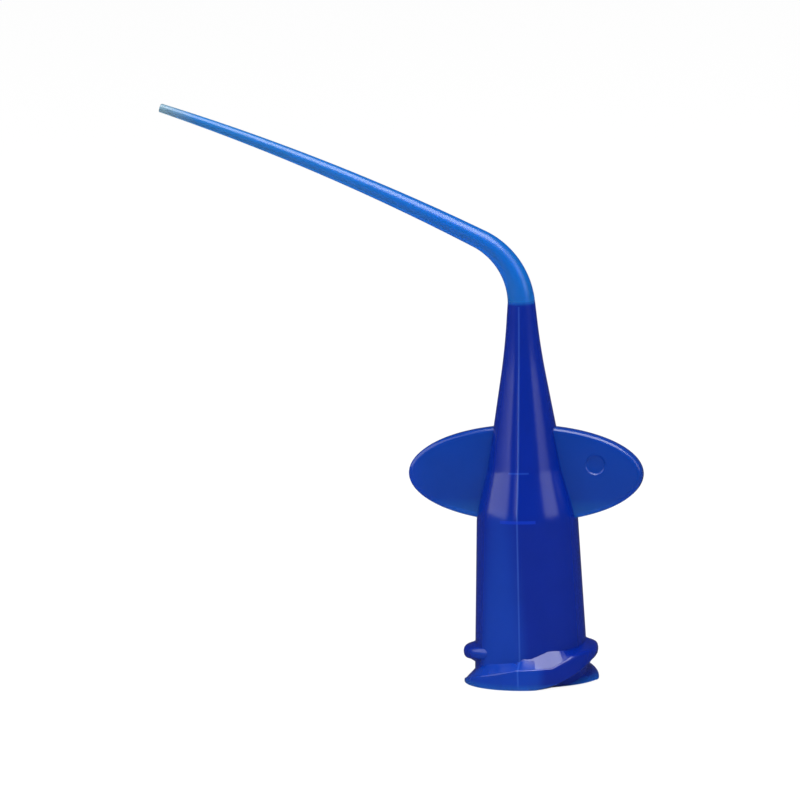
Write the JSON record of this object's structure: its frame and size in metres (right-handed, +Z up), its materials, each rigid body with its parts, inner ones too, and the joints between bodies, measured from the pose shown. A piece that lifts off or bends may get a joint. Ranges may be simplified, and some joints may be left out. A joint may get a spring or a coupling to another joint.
{
  "type": "dispensing needle tip",
  "caption": "Bent tapered dispensing tip in translucent blue plastic, with a female Luer-lock hub, finger wings and a fine curved tube.",
  "frame": {"origin": "centre of the socket's mouth, on the flat base that the tip stands on", "axes": "+Z up along the hub's axis, the wings lie in the XZ plane, the tube bends towards -X, +Y across the wings"},
  "size_m": [0.028, 0.0078, 0.0336],
  "materials": {
    "tip_plastic": "moulded, translucent blue polypropylene, satin gloss"
  },
  "bodies": {
    "root": {"needle_tip": "tip_plastic"}
  },
  "joints": []
}
